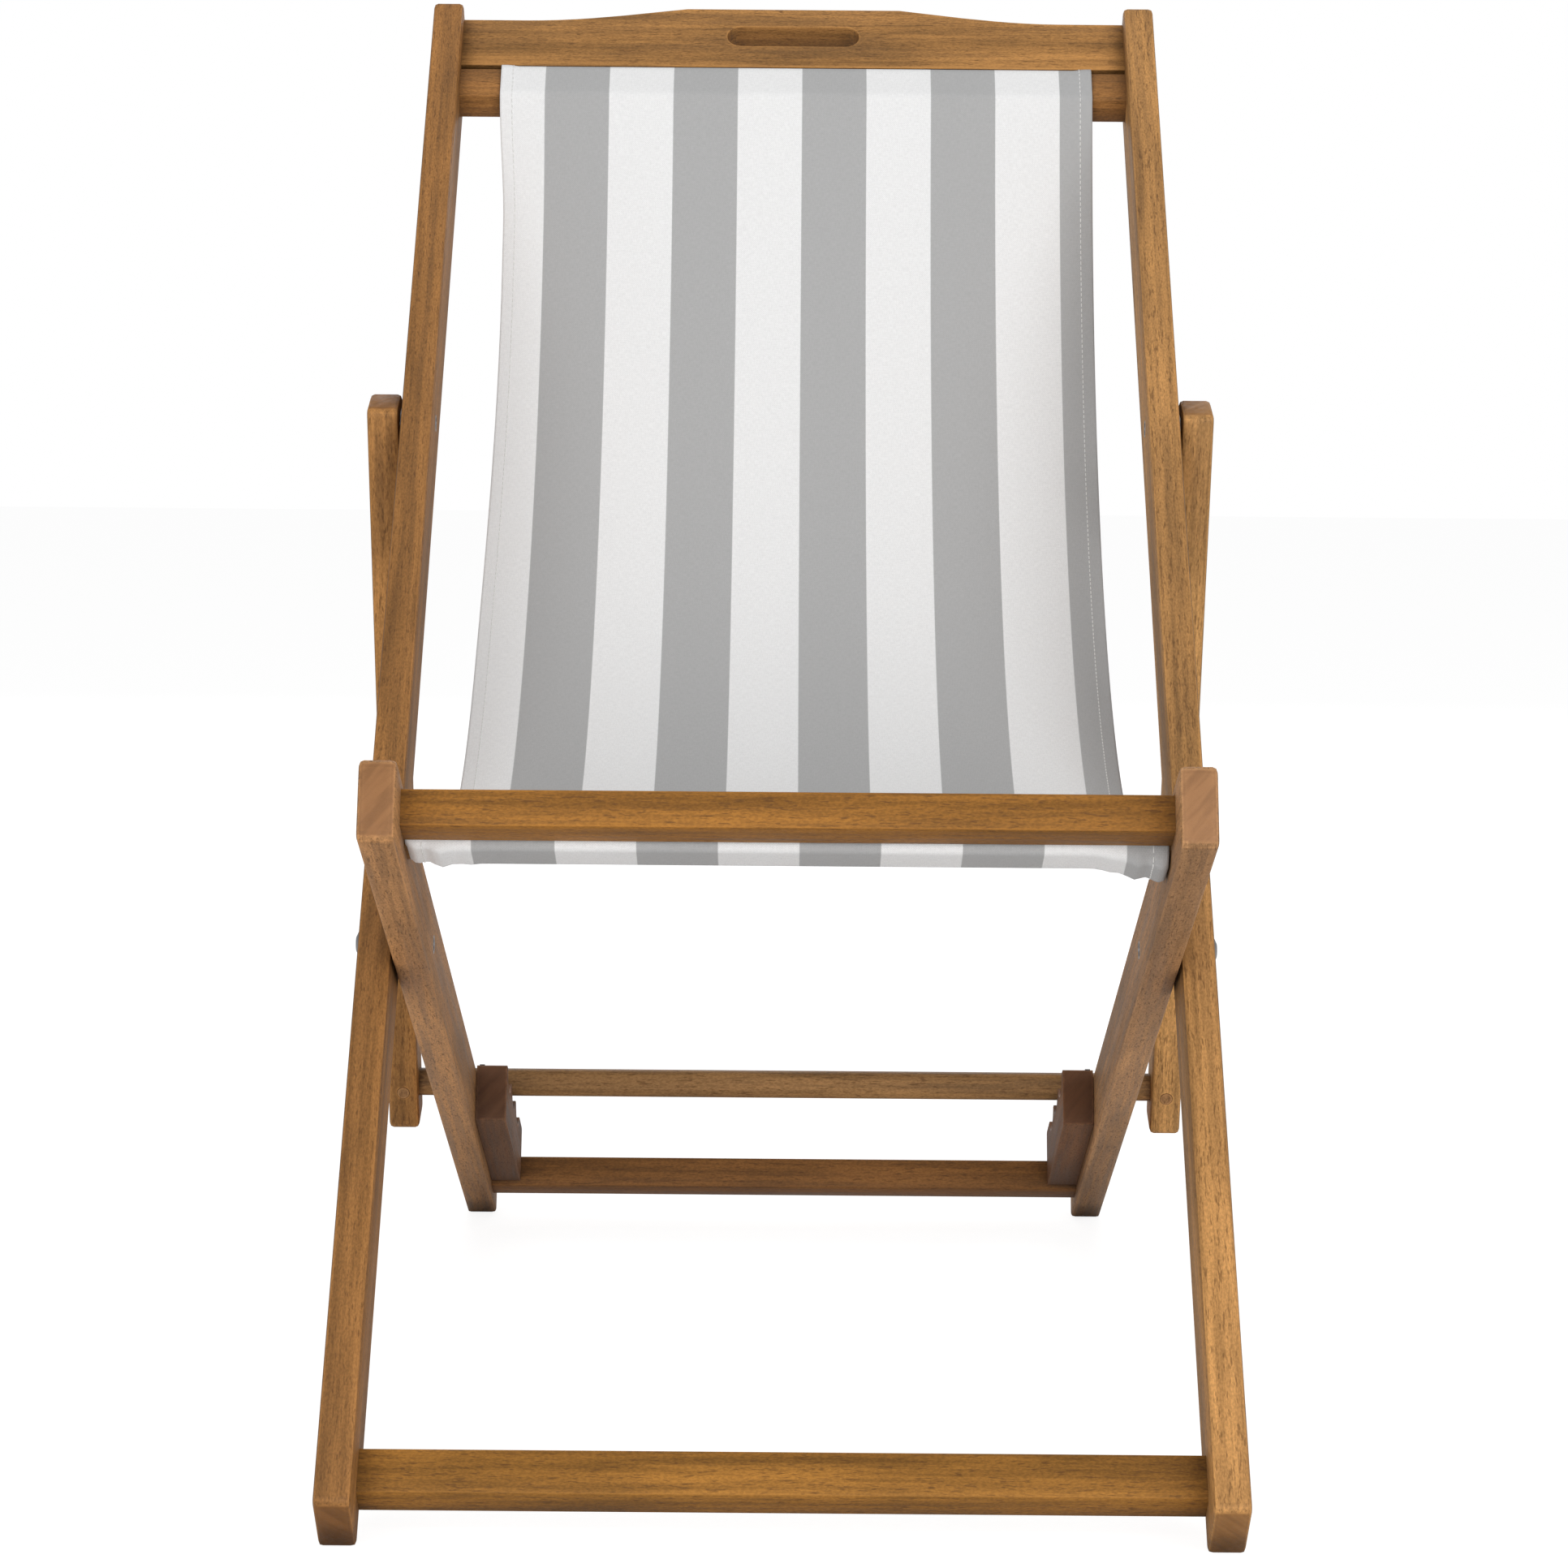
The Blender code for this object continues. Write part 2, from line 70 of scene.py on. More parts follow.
# %% Axes of the three frames
BACK_SLOPE = math.radians(44.4)
SEAT_SLOPE = math.radians(25.135)
CROSS_PIVOT = Vector(HINGE["seat_hinge"]["pos_m"])
PROP_PIVOT = Vector(HINGE["prop_hinge"]["pos_m"])
bar_low, bar_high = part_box("prop_bar")
BAR_MIDDLE = (Vector(bar_low) + Vector(bar_high)) / 2
BACK_TILT = BACK_SLOPE - math.pi / 2
SEAT_TILT = math.pi / 2 - SEAT_SLOPE
PROP_TILT = math.atan2(BAR_MIDDLE.y - PROP_PIVOT.y, PROP_PIVOT.z - BAR_MIDDLE.z)
BACK_AXES = Matrix.Translation(CROSS_PIVOT) @ Matrix.Rotation(BACK_TILT, 4, "X")
SEAT_AXES = Matrix.Translation(CROSS_PIVOT) @ Matrix.Rotation(SEAT_TILT, 4, "X")
print("prop leans", round(math.degrees(PROP_TILT), 1), "degrees")

# %% [markdown]
# A shader is a small graph. These helpers add a node, set its sockets and wire it, so that each finish below
# reads as a list of steps. A socket value may be a number, a colour or another node's output.


# %% Shader helpers
def wire(tree, target, value):
    if isinstance(value, bpy.types.NodeSocket):
        tree.links.new(value, target)
    else:
        target.default_value = value


def add(tree, kind, settings=None, values=(), **sockets):
    """Adds a node: settings are its options, values its first sockets in order, sockets its named ones."""
    node = tree.nodes.new(kind)
    for key, value in (settings or {}).items():
        setattr(node, key, value)
    for place, value in enumerate(values):
        wire(tree, node.inputs[place], value)
    for key, value in sockets.items():
        wire(tree, node.inputs[key], value)
    return node


def calc(tree, operation, *values):
    return add(tree, "ShaderNodeMath", {"operation": operation}, values).outputs[0]


def tint(tree, factor, first, second, mode="MIX"):
    node = add(tree, "ShaderNodeMix", {"data_type": "RGBA", "blend_type": mode}, (factor,))
    wire(tree, node.inputs[6], first)
    wire(tree, node.inputs[7], second)
    return node.outputs[2]


def step_up(tree, value, low, high, out_low=0.0, out_high=1.0):
    """Maps a value smoothly from low..high to the given range."""
    settings = {"interpolation_type": "SMOOTHSTEP"}
    return add(tree, "ShaderNodeMapRange", settings, (value, low, high, out_low, out_high)).outputs[0]


def stretch(tree, vector, scale):
    return add(tree, "ShaderNodeMapping", None, Vector=vector, Scale=scale).outputs[0]


def noise(tree, vector, scale, detail=3.0, rough=0.55):
    """Cloudy noise, with the number of clouds per metre along each axis."""
    spot = stretch(tree, vector, scale)
    sockets = {"Vector": spot, "Scale": 1.0, "Detail": detail, "Roughness": rough}
    return add(tree, "ShaderNodeTexNoise", **sockets).outputs[0]


def new_group(name, inputs, outputs):
    group = bpy.data.node_groups.new(name, "ShaderNodeTree")
    for sockets, direction in ((inputs, "INPUT"), (outputs, "OUTPUT")):
        for socket, kind in sockets.items():
            group.interface.new_socket(name=socket, in_out=direction, socket_type=f"NodeSocket{kind}")
    return group, group.nodes.new("NodeGroupInput").outputs, group.nodes.new("NodeGroupOutput").inputs


def new_material(name, roughness, specular):
    material = bpy.data.materials.new(name)
    material.use_nodes = True
    shader = material.node_tree.nodes["Principled BSDF"]
    shader.inputs["Roughness"].default_value = roughness
    shader.inputs["Specular IOR Level"].default_value = specular
    return material, material.node_tree, shader.inputs


def rgb(red, green, blue, light=1.0):
    """A colour as seen on screen, 0 to 255, turned into the linear values that shaders use."""
    parts = [value / 255 for value in (red, green, blue)]
    parts = [p / 12.92 if p <= 0.04045 else ((p + 0.055) / 1.055) ** 2.4 for p in parts]
    return tuple(p * light for p in parts) + (1.0,)


# %% [markdown]
# The timber is a mid-brown hardwood, sanded and oiled. Close up it has long tone bands, fine dark pores a few
# millimetres long and paler arrises where the sander broke the edge; the sawn ends are darker and show rings.
# The grain group takes a position with X along the grain, so each board can have its own place and tint, and
# it paints shade into the colour where other faces come near.

# %% Wood grain group
# Clouds of noise per metre: along the grain, then across it both ways.
BANDS = (2.2, 34.0, 34.0)
STREAKS = (9.0, 240.0, 240.0)
FLECKS = (120.0, 820.0, 820.0)
SPECKS = (420.0, 900.0, 900.0)
CLOUDS = (6.0, 11.0, 11.0)
RINGS = (12.0, 24.0, 170.0)
RING_SLANT = (0.7, 0.0, 0.0)
PORE_SHARE = 0.55            # how much of the pore colour a full pore takes
END_SHADE = (0.66, 0.62, 0.62, 1.0)
ARRIS_RADIUS = 0.0026        # width of the sanded edge
ARRIS_TURN = (0.996, 0.91)   # cosine of the edge's turn where rubbing starts, and where it is full
SHADE_REACH = 0.022           # how near another face must be for painted shade to darken the wood


def grain_group():
    inputs = {"Along": "Vector", "Facing": "Vector"}
    inputs.update({colour: "Color" for colour in ("Heart", "Sap", "Pore", "Arris")})
    outputs = {"Colour": "Color", "Roughness": "Float", "Height": "Float"}
    group, given, result = new_group("oiled_grain", inputs, outputs)
    along = given["Along"]
    bands = noise(group, along, BANDS, 4.0, 0.6)
    streaks = noise(group, along, STREAKS, 3.0, 0.6)
    fleck = noise(group, along, FLECKS, 2.0)
    speck = noise(group, along, SPECKS, 1.0)
    cloud = noise(group, along, CLOUDS, 2.0)
    tone = tint(group, step_up(group, bands, 0.34, 0.66), given["Heart"], given["Sap"])
    for value, dark, light in ((streaks, 0.82, 1.15), (cloud, 0.88, 1.10), (speck, 0.86, 1.12)):
        tone = tint(group, 1.0, tone, step_up(group, value, 0.36, 0.64, dark, light), "MULTIPLY")
    pores = step_up(group, fleck, 0.56, 0.67)
    tone = tint(group, calc(group, "MULTIPLY", pores, PORE_SHARE), tone, given["Pore"])
    slant = add(group, "ShaderNodeMapping", None, Vector=along, Rotation=RING_SLANT).outputs[0]
    rings = noise(group, slant, RINGS)
    sawn = tint(group, step_up(group, rings, 0.35, 0.65, 0.25, 0.75), given["Heart"], given["Sap"])
    sawn = tint(group, 1.0, sawn, END_SHADE, "MULTIPLY")
    end = add(group, "ShaderNodeSeparateXYZ", None, (given["Facing"],)).outputs[0]
    tone = tint(group, step_up(group, calc(group, "ABSOLUTE", end), 0.75, 0.95), tone, sawn)
    flat = add(group, "ShaderNodeNewGeometry").outputs["True Normal"]
    soft = add(group, "ShaderNodeBevel", {"samples": 4}, Radius=ARRIS_RADIUS).outputs[0]
    turn = add(group, "ShaderNodeVectorMath", {"operation": "DOT_PRODUCT"}, (soft, flat)).outputs["Value"]
    patchy = step_up(group, streaks, 0.3, 0.6, 0.15, 0.7)
    rubbed = calc(group, "MULTIPLY", step_up(group, turn, *ARRIS_TURN), patchy)
    tone = tint(group, rubbed, tone, given["Arris"])
    # Painted shade: the colour darkens where other faces are near, from an ambient occlusion mask.
    occlusion = add(group, "ShaderNodeAmbientOcclusion", {"samples": 6}, Distance=SHADE_REACH).outputs["AO"]
    painted_shade = step_up(group, occlusion, 0.25, 0.85, 0.5, 1.0)
    wire(group, result["Colour"], tint(group, 1.0, tone, painted_shade, "MULTIPLY"))
    wire(group, result["Roughness"], step_up(group, streaks, 0.3, 0.7, 0.48, 0.64))
    wire(group, result["Height"], calc(group, "SUBTRACT", speck, pores))
    return group


GRAIN = grain_group()
PORE_BROWN = rgb(82, 52, 26)
HEART_LIGHT = 0.76           # shares of a board's own colour
SAP_LIGHT = 1.24
ARRIS_LIGHT = 1.65
GRAIN_DEPTH = 0.0003


def lay(tree, vector, tilt):
    """Turns a vector so that X runs along the grain of a timber in a frame that leans by tilt."""
    if tilt is None:
        return vector
    settings = {"vector_type": "VECTOR"}
    for turn in ((-tilt, 0.0, 0.0), (0.0, math.pi / 2, 0.0)):
        vector = add(tree, "ShaderNodeMapping", settings, Vector=vector, Rotation=turn).outputs[0]
    return vector


def oiled_wood(name, tilt, place, colour):
    """Timber with its grain along the legs of a frame that leans by tilt, or across the chair if none."""
    material, tree, shader = new_material(name, 0.5, 0.22)
    spot = add(tree, "ShaderNodeTexCoord").outputs
    level = lay(tree, spot["Object"], tilt)
    sockets = {
        "Along": add(tree, "ShaderNodeMapping", None, Vector=level, Location=place).outputs[0],
        "Facing": lay(tree, spot["Normal"], tilt),
        "Heart": rgb(*colour, HEART_LIGHT),
        "Sap": rgb(*colour, SAP_LIGHT),
        "Pore": PORE_BROWN,
        "Arris": rgb(*colour, ARRIS_LIGHT),
    }
    grain = add(tree, "ShaderNodeGroup", {"node_tree": GRAIN}, **sockets).outputs
    sockets = {"Strength": 0.3, "Distance": GRAIN_DEPTH, "Height": grain["Height"]}
    bump = add(tree, "ShaderNodeBump", **sockets).outputs[0]
    wire(tree, shader["Base Color"], grain["Colour"])
    wire(tree, shader["Roughness"], grain["Roughness"])
    wire(tree, shader["Normal"], bump)
    return material


# %% [markdown]
# Every board was cut from another plank, so every board gets its own stretch of grain and its own tint.
# The photograph shows paler planks on the right, golden cross rails and darker timber low at the back. The
# paler tints on the right are partly the boards' own colour and partly painted light, as the right side is
# lit more brightly.

# %% Dress the timber
# Right-hand legs have paler tints than left-hand ones: partly their own colour, partly painted light for the
# brighter right side.
TIMBERS = (
    ("back_leg_left", BACK_TILT, (150, 104, 56)),
    ("back_leg_right", BACK_TILT, (174, 127, 74)),
    ("handle_rail", None, (162, 116, 64)),
    ("top_sling_bar", None, (142, 98, 52)),
    ("foot_rail", None, (142, 97, 40)),
    ("seat_leg_left", SEAT_TILT, (170, 124, 80)),
    ("seat_leg_right", SEAT_TILT, (178, 133, 90)),
    ("front_rail", None, (145, 97, 38)),
    ("front_sling_bar", None, (145, 100, 50)),
    ("rear_rail", None, (122, 82, 42)),
    ("rack_left", SEAT_TILT, (124, 88, 62)),
    ("rack_right", SEAT_TILT, (124, 86, 58)),
    ("prop_leg_left", PROP_TILT, (168, 119, 66)),
    ("prop_leg_right", PROP_TILT, (184, 137, 82)),
    ("prop_bar", None, (152, 113, 70)),
    ("prop_peg_left", PROP_TILT, (160, 118, 76)),
    ("prop_peg_right", PROP_TILT, (160, 118, 76)),
)
PLANK_STEP = (0.83, 0.37, 0.59)
WELD_GAP = 0.00001
FLAT_ANGLE = math.radians(1)
SMOOTH_ANGLE = math.radians(35)
SHARP_ANGLE = math.radians(50)
HANDLE_EDGE = 0.0016         # the handle's solid has sharp edges, so they are rounded here


def smooth(piece, round_edges=0.0):
    """Welds the faceted solid and shades its rounded edges smooth, with sharp corners kept."""
    piece.modifiers.new("weld", "WELD").merge_threshold = WELD_GAP
    if round_edges:
        join = piece.modifiers.new("flat faces", "DECIMATE")
        join.decimate_type = "DISSOLVE"
        join.angle_limit = FLAT_ANGLE
        edge = piece.modifiers.new("sanded edges", "BEVEL")
        edge.width = round_edges
        edge.segments = 3
        edge.limit_method = "ANGLE"
        edge.angle_limit = SHARP_ANGLE
    piece.modifiers.new("sharp corners", "EDGE_SPLIT").split_angle = SMOOTH_ANGLE
    piece.data.shade_smooth()


def clothe(node, material, round_edges=0.0):
    piece = NODES[node]
    piece.data.materials.clear()
    piece.data.materials.append(material)
    smooth(piece, round_edges)


for count, (node, tilt, colour) in enumerate(TIMBERS, 1):
    place = tuple(step * count for step in PLANK_STEP)
    wood = oiled_wood(f"{node}_timber", tilt, place, colour)
    clothe(node, wood, HANDLE_EDGE if node == "handle_rail" else 0.0)
print("dressed", len(TIMBERS), "timbers")

# %% [markdown]
# The bolts, nuts, washers and screws are zinc-plated steel: grey, a little cloudy and softly glossy. The
# two pins on the prop bar look almost black in the photograph.

# %% Dress the hardware
METAL_CLOUDS = (420.0, 420.0, 420.0)


def metal(name, dark, light):
    material, tree, shader = new_material(name, 0.4, 0.5)
    cloud = noise(tree, add(tree, "ShaderNodeTexCoord").outputs["Object"], METAL_CLOUDS)
    wire(tree, shader["Base Color"], tint(tree, cloud, dark, light))
    wire(tree, shader["Roughness"], step_up(tree, cloud, 0.3, 0.7, 0.28, 0.48))
    shader["Metallic"].default_value = 1.0
    return material


ZINC = metal("zinc_plate", rgb(140, 140, 142), rgb(182, 182, 184))
BLACKED = metal("blacked_steel", rgb(36, 32, 30), rgb(58, 52, 48))
WORDS = {"bolt", "nut", "washer", "spacer", "screw", "pin"}
HARDWARE = [node for node in sorted(NODES) if WORDS & set(node.split("_"))]
for node in HARDWARE:
    clothe(node, BLACKED if "pin" in node else ZINC)
print("dressed", len(HARDWARE), "pieces of hardware")

# %% [markdown]
# The sling is one width of woven cotton canvas. It runs right round the top bar, hangs slack and runs right
# round the front bar. The slack part is a cubic curve whose ends follow the cloth's direction at each bar; it
# was fitted to depths measured from the widths of the stripes in the photograph. Points at even distances
# make the cloth's flat map true.

# %% Path of the canvas
SURFACE = 0.0024             # bar face to the outer side of the canvas
BAR_ROUND = 0.0025
BAR_DEPTH = 0.023
BAR_WIDTH = 0.030
TOP_BAR = (0.0005, 0.7898)   # through the depth of the back legs, and along them
FRONT_BAR = (0.0045, 0.2212)
TOP_BREAK = math.radians(34.1)   # turn of the cloth off the top bar, from the line of the back legs
TOP_PULL = 0.350             # how far the canvas keeps its direction at each bar
FRONT_PULL = 0.335
PATH_STEP = 0.0025


def round_bar(axes, bar, turns, steps=6):
    """Points round the corners of a bar: each turn is a corner and the angles it starts and ends at."""
    depth, level = bar
    bend = BAR_ROUND + SURFACE
    points = []
    for across, along, start, end in turns:
        y = depth + across * (BAR_DEPTH / 2 - BAR_ROUND)
        z = level + along * (BAR_WIDTH / 2 - BAR_ROUND)
        for angle in np.linspace(start, end, steps if start != end else 1):
            point = axes @ Vector((0.0, y + bend * math.cos(angle), z + bend * math.sin(angle)))
            points.append((point.y, point.z))
    return points


def slack(start, end, steps=120):
    """Points of the slack part, a cubic curve between the two bars."""
    drop = BACK_SLOPE + TOP_BREAK
    start, end = np.array(start), np.array(end)
    below_top = start - TOP_PULL * np.array((math.cos(drop), math.sin(drop)))
    behind_front = end + FRONT_PULL * np.array((math.cos(SEAT_SLOPE), -math.sin(SEAT_SLOPE)))
    t = np.linspace(0, 1, steps)[1:-1, None]
    curve = (1 - t) ** 3 * start + 3 * t * (1 - t) ** 2 * below_top
    curve = curve + 3 * t**2 * (1 - t) * behind_front + t**3 * end
    return [tuple(point) for point in curve]


def lengths(path):
    return np.concatenate([[0.0], np.cumsum(np.linalg.norm(np.diff(path, axis=0), axis=1))])


QUARTER = math.pi / 2
TOP_TURNS = ((-1, -1, 3 * QUARTER, 3 * QUARTER), (1, -1, 3 * QUARTER, 4 * QUARTER), (1, 1, 0, QUARTER),
             (-1, 1, QUARTER, 2 * QUARTER), (-1, -1, 2 * QUARTER, 2 * QUARTER + TOP_BREAK))
FRONT_TURNS = ((1, -1, 0, 0), (1, 1, 0, QUARTER), (-1, 1, QUARTER, 2 * QUARTER),
               (-1, -1, 2 * QUARTER, 3 * QUARTER), (1, -1, 3 * QUARTER, 3 * QUARTER))
top_wrap = round_bar(BACK_AXES, TOP_BAR, TOP_TURNS)
front_wrap = round_bar(SEAT_AXES, FRONT_BAR, FRONT_TURNS)
ROUGH_PATH = np.array(top_wrap + slack(top_wrap[-1], front_wrap[0]) + front_wrap)
ROUGH_REACH = lengths(ROUGH_PATH)
SLING_LENGTH = ROUGH_REACH[-1]
REACH = np.linspace(0.0, SLING_LENGTH, int(SLING_LENGTH / PATH_STEP))
TOP_AT = lengths(np.array(top_wrap))[-1]
FRONT_AT = SLING_LENGTH - lengths(np.array(front_wrap))[-1]
print("canvas length", round(SLING_LENGTH, 3), "m, bars at", round(TOP_AT, 3), "and", round(FRONT_AT, 3))

# %% [markdown]
# Real canvas is never dead flat. Hems pull the sides in, slack cloth ripples by a millimetre or so, and the
# ends of the front pocket bunch up against the legs: the left end flares and the right end droops. One
# function puts a point of the flat cloth in its place, so the threads sewn along the hems can use it as well.

# %% Where the canvas lies
SLING_WIDTH = 0.440
LEFT_EDGE = -0.2175
SLOPE_STEP = 0.002           # half the distance over which the path's direction is taken
RIPPLE = 0.0010              # ripples of the slack part
TOP_CORNERS = 0.0010         # rise of the hems round the top bar
LEFT_FOLDS = 0.0036          # folds at the ends of the front pocket
RIGHT_FOLDS = 0.0014
HEM_PULL = 0.0042            # how far the left hem is drawn in below the top bar
LEFT_FLARE = 0.0064          # how far the pocket's ends spread sideways
RIGHT_FLARE = 0.0008
LEFT_LIFT = 0.0045
RIGHT_DROOP = 0.0065


def ramp(value, low, high):
    share = np.clip((value - low) / (high - low), 0.0, 1.0)
    return share * share * (3 - 2 * share)


def hump(value, start, full, fade, end):
    """Rises from 0 to 1 between start and full, and falls back between fade and end."""
    return ramp(value, start, full) * (1 - ramp(value, fade, end))


def path_at(reach):
    return [np.interp(reach, ROUGH_REACH, ROUGH_PATH[:, axis]) for axis in (0, 1)]


def canvas_at(across, reach, lift=0.0):
    """World points of the cloth at distances across and along it, raised from its outer side by lift."""
    across, reach = np.broadcast_arrays(across, reach)
    spot, ahead, behind = path_at(reach), path_at(reach + SLOPE_STEP), path_at(reach - SLOPE_STEP)
    run, rise = ahead[0] - behind[0], ahead[1] - behind[1]
    size = np.hypot(run, rise)
    left = 1 - ramp(across, 0.0, 0.045)
    right = ramp(across, 0.395, 0.432)
    corner = 1 - ramp(across, 0.0, 0.016)
    hems = 1 - ramp(across, 0.004, 0.014) + ramp(across, SLING_WIDTH - 0.014, SLING_WIDTH - 0.004)
    at_top = 1 - ramp(reach, TOP_AT - 0.03, TOP_AT)
    below_top = hump(reach, TOP_AT, TOP_AT + 0.1, TOP_AT + 0.15, TOP_AT + 0.5)
    slack_part = hump(reach, TOP_AT + 0.01, TOP_AT + 0.25, FRONT_AT - 0.2, FRONT_AT - 0.01)
    at_front = ramp(reach, FRONT_AT - 0.05, FRONT_AT + 0.01)
    under = hump(reach, FRONT_AT + 0.044, FRONT_AT + 0.060, FRONT_AT + 0.092, FRONT_AT + 0.108)
    waves = np.sin(9.0 * across + 5.0 * reach) + 0.6 * np.sin(23.0 * across - 11.0 * reach + 1.3)
    out = lift + RIPPLE * slack_part * waves + TOP_CORNERS * at_top * hems
    out = out + under * left * LEFT_FOLDS * np.sin(across * 230.0 + 0.5) ** 2
    out = out + under * right * RIGHT_FOLDS * np.sin(across * 420.0 + 0.6)
    x = LEFT_EDGE + across + HEM_PULL * left * below_top
    x = x - LEFT_FLARE * left * at_front + RIGHT_FLARE * right * at_front
    y = spot[0] + out * rise / size
    z = spot[1] - out * run / size - RIGHT_DROOP * right * under
    z = z + LEFT_LIFT * under * corner
    return np.stack([x, y, z], axis=-1)


# %% [markdown]
# The cloth is a grid of quads on that surface, with a finer step at the hems. Each corner keeps its flat
# place, in metres, as a texture map. A Solidify step gives the cloth its thickness inwards, twice as much
# along the hems.

# %% Make the canvas
HEM = 0.013
CANVAS_THICK = 0.0011
HEM_SHARE = 2.0
FIELD_EDGE = 0.018           # where the even columns between the hems start
FIELD_COLUMNS = 88
hem_lines = np.array([0.0, 0.0015, 0.004, 0.0065, 0.009, 0.0115, HEM, HEM + 0.0008])
field_lines = np.linspace(FIELD_EDGE, SLING_WIDTH - FIELD_EDGE, FIELD_COLUMNS)
COLUMNS = np.concatenate([hem_lines, field_lines, SLING_WIDTH - hem_lines[::-1]])


def link(mesh, name):
    piece = bpy.data.objects.new(name, mesh)
    bpy.context.scene.collection.objects.link(piece)
    return piece


def canvas_sling():
    rows, columns = len(REACH), len(COLUMNS)
    spots = canvas_at(COLUMNS[None, :], REACH[:, None]).reshape(-1, 3)
    corner = np.arange(rows * columns).reshape(rows, columns)
    faces = np.stack([corner[:-1, :-1], corner[1:, :-1], corner[1:, 1:], corner[:-1, 1:]], axis=-1)
    faces = faces.reshape(-1, 4)
    mesh = bpy.data.meshes.new("canvas_sling")
    mesh.from_pydata(spots.tolist(), [], faces.tolist())
    flat = np.stack(np.broadcast_arrays(COLUMNS[None, :], REACH[:, None]), axis=-1).reshape(-1, 2)
    mesh.uv_layers.new(name="cloth").data.foreach_set("uv", flat[faces.ravel()].ravel())
    mesh.shade_smooth()
    piece = link(mesh, "canvas_sling")
    hem = piece.vertex_groups.new(name="hem")
    edge = (COLUMNS <= HEM) | (COLUMNS >= SLING_WIDTH - HEM)
    hem.add(corner[:, edge].ravel().tolist(), 1.0, "REPLACE")
    body = piece.modifiers.new("cloth thickness", "SOLIDIFY")
    body.thickness = CANVAS_THICK * HEM_SHARE
    body.offset = -1.0
    body.vertex_group = "hem"
    body.thickness_vertex_group = 1 / HEM_SHARE
    return piece


sling = canvas_sling()
print("canvas faces", len(sling.data.polygons))

# %% [markdown]
# The stripes are woven in: a white edge, then grey and white in even widths. The weave group draws the
# threads of a plain weave, over and under, from the flat map, and puts out a shade and a height for the bump.

# %% Canvas finish
THREAD_PITCH = 0.0008
SLUBS = (1500.0, 260.0, 1.0)     # uneven places per metre across and along a thread
CROSS_SLUBS = (260.0, 1500.0, 1.0)
THREAD_SHADE = (0.96, 1.03)
SLUB_SHADE = (-0.05, 0.05)
WEAVE_DEPTH = 0.0002
FIRST_STRIPE = 0.0333
STRIPE = 0.0478
CANVAS_WHITE = rgb(234, 234, 234)
CANVAS_GREY = rgb(175, 175, 175)


def weave_group():
    inputs = {"Cloth": "Vector", "Pitch": "Float"}
    group, given, result = new_group("plain_weave", inputs, {"Shade": "Float", "Height": "Float"})
    split = add(group, "ShaderNodeSeparateXYZ", None, (given["Cloth"],)).outputs
    turns = calc(group, "DIVIDE", math.pi, given["Pitch"])
    warp = calc(group, "SINE", calc(group, "MULTIPLY", split[0], turns))
    weft = calc(group, "SINE", calc(group, "MULTIPLY", split[1], turns))
    cross = calc(group, "MULTIPLY", warp, weft)
    yarn = noise(group, given["Cloth"], SLUBS, 2.0)
    yarn = calc(group, "ADD", yarn, noise(group, given["Cloth"], CROSS_SLUBS, 2.0))
    threads = step_up(group, cross, -1.0, 1.0, *THREAD_SHADE)
    slubs = step_up(group, yarn, 0.7, 1.3, *SLUB_SHADE)
    wire(group, result["Shade"], calc(group, "ADD", threads, slubs))
    wire(group, result["Height"], calc(group, "ADD", calc(group, "ABSOLUTE", cross), yarn))
    return group


WEAVE = weave_group()


def striped_canvas():
    material, tree, shader = new_material("striped_canvas", 0.92, 0.15)
    cloth = add(tree, "ShaderNodeUVMap", {"uv_map": "cloth"}).outputs[0]
    weave = add(tree, "ShaderNodeGroup", {"node_tree": WEAVE}, Cloth=cloth, Pitch=THREAD_PITCH).outputs
    across = add(tree, "ShaderNodeSeparateXYZ", None, (cloth,)).outputs[0]
    count = calc(tree, "DIVIDE", calc(tree, "SUBTRACT", across, FIRST_STRIPE), STRIPE)
    wave = calc(tree, "PINGPONG", calc(tree, "ADD", count, 0.5), 1.0)
    colour = tint(tree, step_up(tree, wave, 0.492, 0.508), CANVAS_WHITE, CANVAS_GREY)
    colour = tint(tree, 1.0, colour, weave["Shade"], "MULTIPLY")
    sockets = {"Strength": 0.3, "Distance": WEAVE_DEPTH, "Height": weave["Height"]}
    bump = add(tree, "ShaderNodeBump", **sockets).outputs[0]
    wire(tree, shader["Base Color"], colour)
    wire(tree, shader["Normal"], bump)
    shader["Sheen Weight"].default_value = 0.1
    return material


sling.data.materials.append(striped_canvas())

# %% [markdown]
# Each side hem is sewn down with one row of white thread, nine millimetres from the edge. A stitch is a short
# bowed tube whose ends go down into the cloth. The stitches on the inner side lie half a step along from
# those on the outer side.

# %% Sew the hems
STITCH_PITCH = 0.0042
STITCH_LONG = 0.0031
THREAD_RADIUS = 0.00036
SEAM = 0.009                 # seam to the edge of the cloth
SEAM_START = 0.006           # first stitch to the cloth's end
SEAM_END = 0.008
BOW = ((0.0, -0.0004), (0.15, 0.0001), (0.5, 0.0002), (0.85, 0.0001), (1.0, -0.0004))
THREAD_SIDES = 6
THREAD_TWIST = (2400.0, 2400.0, 2400.0)


